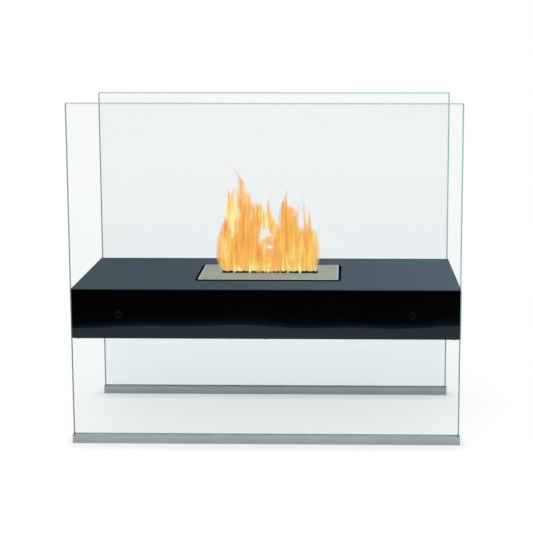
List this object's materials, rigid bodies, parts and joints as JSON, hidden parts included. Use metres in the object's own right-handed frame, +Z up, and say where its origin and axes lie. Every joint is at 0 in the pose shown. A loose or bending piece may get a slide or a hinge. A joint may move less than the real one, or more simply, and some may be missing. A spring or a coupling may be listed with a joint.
{
  "type": "bioethanol fireplace",
  "caption": "Free-standing see-through ethanol fireplace: clear glass panels in foot rails, black casing between them, lift-out burner with a sliding shutter.",
  "frame": {"origin": "on the floor, under the middle of the fireplace", "axes": "+X along the width, +Y to the rear, +Z up"},
  "size_m": [0.713, 0.343, 0.627],
  "materials": {
    "clear_glass": "polished, with a faint green edge",
    "satin_aluminium": "satin anodised",
    "grey_rubber": "matt grey, close to the rail's own shade",
    "black_enamel": "satin black heat-proof enamel",
    "black_fastener": "blackened steel",
    "zinc_steel": "zinc plated",
    "black_nylon": "matt",
    "gasket_fibre": "woven glass fibre, graphited black",
    "brushed_stainless": "brushed stainless steel",
    "ceramic_wool": "felted white fibre",
    "flame": "glowing, see-through"
  },
  "bodies": {
    "fireplace_frame": {"front_glass_panel": "clear_glass", "rear_glass_panel": "clear_glass", "front_foot_rail": "satin_aluminium", "rear_foot_rail": "satin_aluminium", "rail_end_caps": "satin_aluminium", "front_rail_liner": "grey_rubber", "rear_rail_liner": "grey_rubber", "casing_shell": "black_enamel", "bottom_cover": "black_enamel", "burner_well": "black_enamel", "cover_screws": "black_fastener", "cover_nuts": "zinc_steel", "left_stiffener": "zinc_steel", "right_stiffener": "zinc_steel", "front_glass_bolts": "black_fastener", "rear_glass_bolts": "black_fastener", "front_bolt_washers": "black_nylon", "rear_bolt_washers": "black_nylon", "front_bolt_bushes": "black_nylon", "rear_bolt_bushes": "black_nylon", "front_bolt_nuts": "zinc_steel", "rear_bolt_nuts": "zinc_steel", "ledge_gasket": "gasket_fibre"},
    "burner": {"burner_top_plate": "brushed_stainless", "fuel_tank": "brushed_stainless", "ceramic_wool_pad": "ceramic_wool", "wool_mesh": "brushed_stainless", "left_shutter_guide": "brushed_stainless", "right_shutter_guide": "brushed_stainless"},
    "shutter": {"shutter_plate": "brushed_stainless", "shutter_pull": "brushed_stainless"}
  },
  "joints": [
    {"name": "burner_lift", "type": "slide", "parent": "fireplace_frame", "child": "burner", "axis": [0, 0, 1], "range_m": [0, 0.09]},
    {"name": "shutter_slide", "type": "slide", "parent": "burner", "child": "shutter", "axis": [0, 1, 0], "range_m": [0, 0.0198]}
  ]
}
